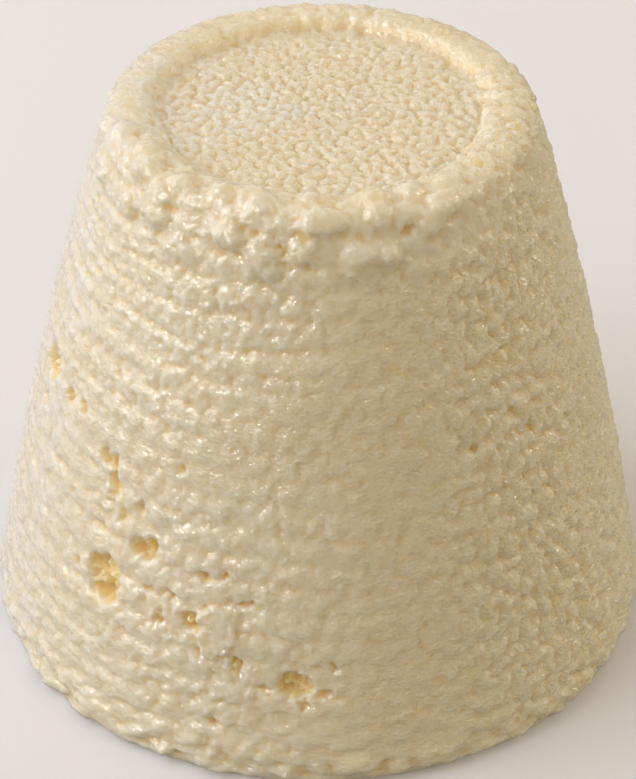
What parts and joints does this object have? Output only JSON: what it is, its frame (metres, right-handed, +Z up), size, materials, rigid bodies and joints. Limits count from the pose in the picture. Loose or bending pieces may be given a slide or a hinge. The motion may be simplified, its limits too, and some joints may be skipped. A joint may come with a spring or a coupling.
{
  "type": "ricotta cheese",
  "caption": "Fresh ricotta turned out of its draining basket: a flat-footed truncated cone of white curd with a lumpy rim round a shallow hollow on top.",
  "frame": {"origin": "centre of the flat foot that the cheese stands on", "axes": "+Z up through the hollow in the top, -Y towards the shown front, +X to its right"},
  "size_m": [0.1108, 0.1108, 0.0962],
  "materials": {
    "curd": "moist satin curd"
  },
  "bodies": {
    "root": {"ricotta": "curd"}
  },
  "joints": []
}
